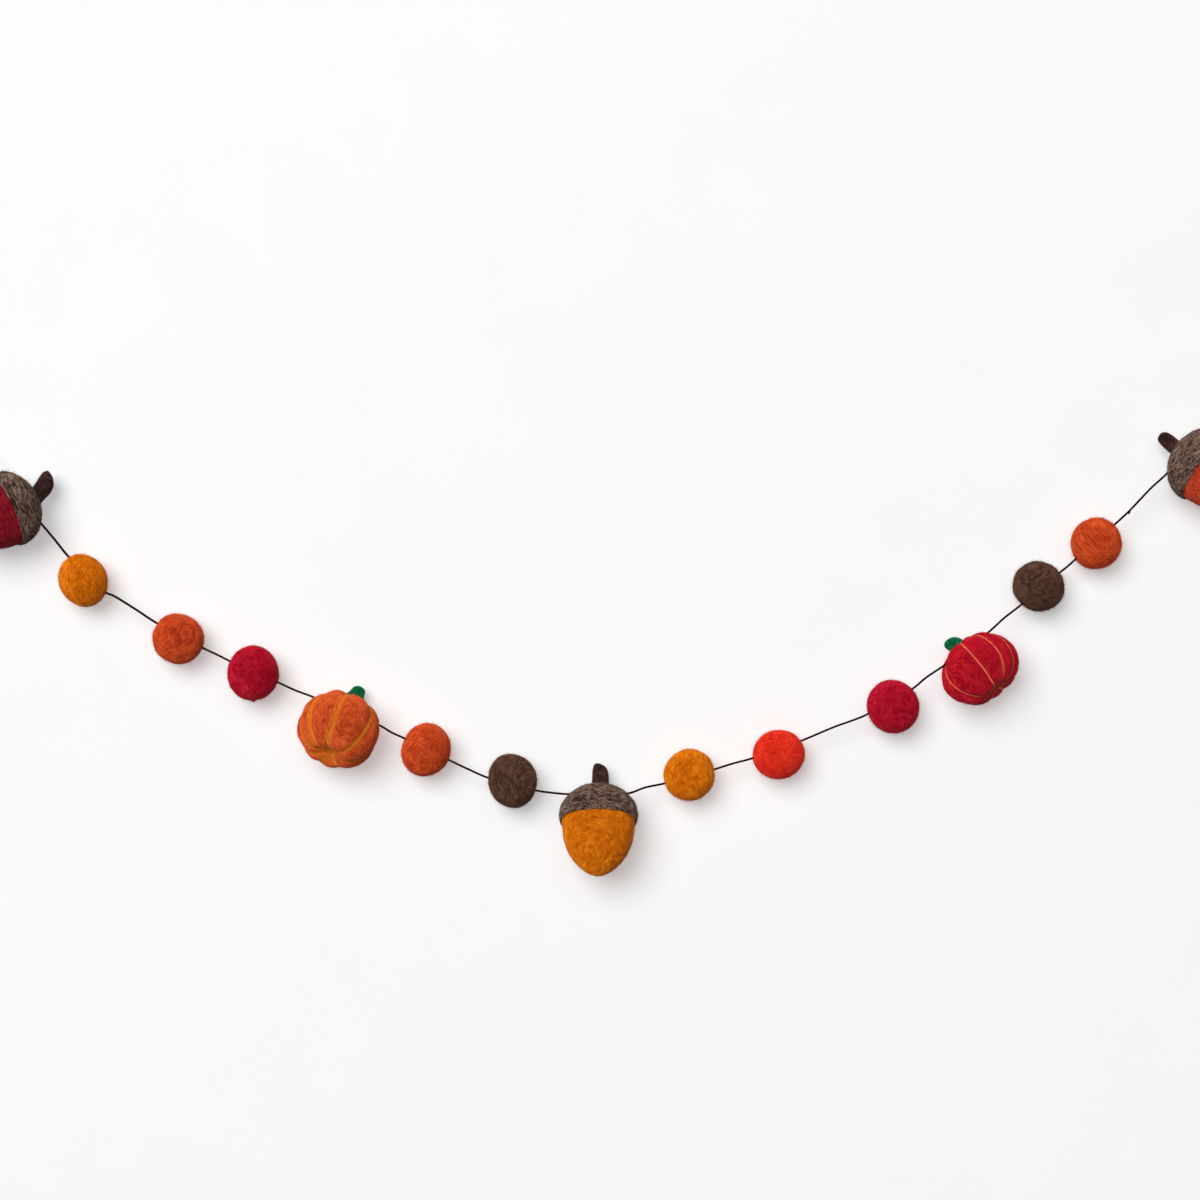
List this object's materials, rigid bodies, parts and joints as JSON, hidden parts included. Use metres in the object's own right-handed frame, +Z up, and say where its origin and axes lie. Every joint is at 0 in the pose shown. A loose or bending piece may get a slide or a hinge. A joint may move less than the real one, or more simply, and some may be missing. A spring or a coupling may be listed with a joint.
{
  "type": "felt garland",
  "caption": "Autumn garland of wool felt balls, pumpkins and acorns strung on one thread, hung in a swag from a tied loop at each end.",
  "frame": {"origin": "where the left hanging loop bears on its hook, at the inside of the loop's top", "axes": "+X runs along the garland from its left loop to its right one, +Y points at the wall behind it, +Z is up"},
  "size_m": [0.6768, 0.0404, 0.2488],
  "materials": {
    "felt_mustard": "matt wool felt, swirled fibres, mustard yellow",
    "felt_orange": "matt wool felt, burnt orange",
    "felt_crimson": "matt wool felt, crimson",
    "felt_scarlet": "matt wool felt, red orange",
    "felt_brown": "matt wool felt, dark brown",
    "pumpkin_orange": "matt wool felt, coral orange with amber needled seams",
    "pumpkin_red": "matt wool felt, deep red with peach needled seams",
    "nut_mustard": "matt wool felt, golden mustard",
    "nut_crimson": "matt wool felt, dark crimson",
    "nut_orange": "matt wool felt, rust orange",
    "cap_marl": "coarse undyed wool, marled grey and brown",
    "stem_plum": "tightly needled wool, near-black plum brown",
    "stalk_green": "matt wool felt, bottle green",
    "thread_maroon": "two-ply cotton thread, very dark maroon"
  },
  "bodies": {
    "root": {"acorn_left_nut": "nut_crimson", "acorn_left_cap": "cap_marl", "acorn_left_stem": "stem_plum", "ball_mustard_left": "felt_mustard", "ball_orange_left": "felt_orange", "ball_crimson_left": "felt_crimson", "pumpkin_orange_body": "pumpkin_orange", "pumpkin_orange_stalk": "stalk_green", "ball_orange_middle": "felt_orange", "ball_brown_left": "felt_brown", "acorn_centre_nut": "nut_mustard", "acorn_centre_cap": "cap_marl", "acorn_centre_stem": "stem_plum", "ball_mustard_right": "felt_mustard", "ball_scarlet": "felt_scarlet", "ball_crimson_right": "felt_crimson", "pumpkin_red_body": "pumpkin_red", "pumpkin_red_stalk": "stalk_green", "ball_brown_right": "felt_brown", "ball_orange_right": "felt_orange", "acorn_right_nut": "nut_orange", "acorn_right_cap": "cap_marl", "acorn_right_stem": "stem_plum", "thread": "thread_maroon", "left_loop": "thread_maroon", "left_knot": "thread_maroon", "right_loop": "thread_maroon", "right_knot": "thread_maroon"}
  },
  "joints": []
}
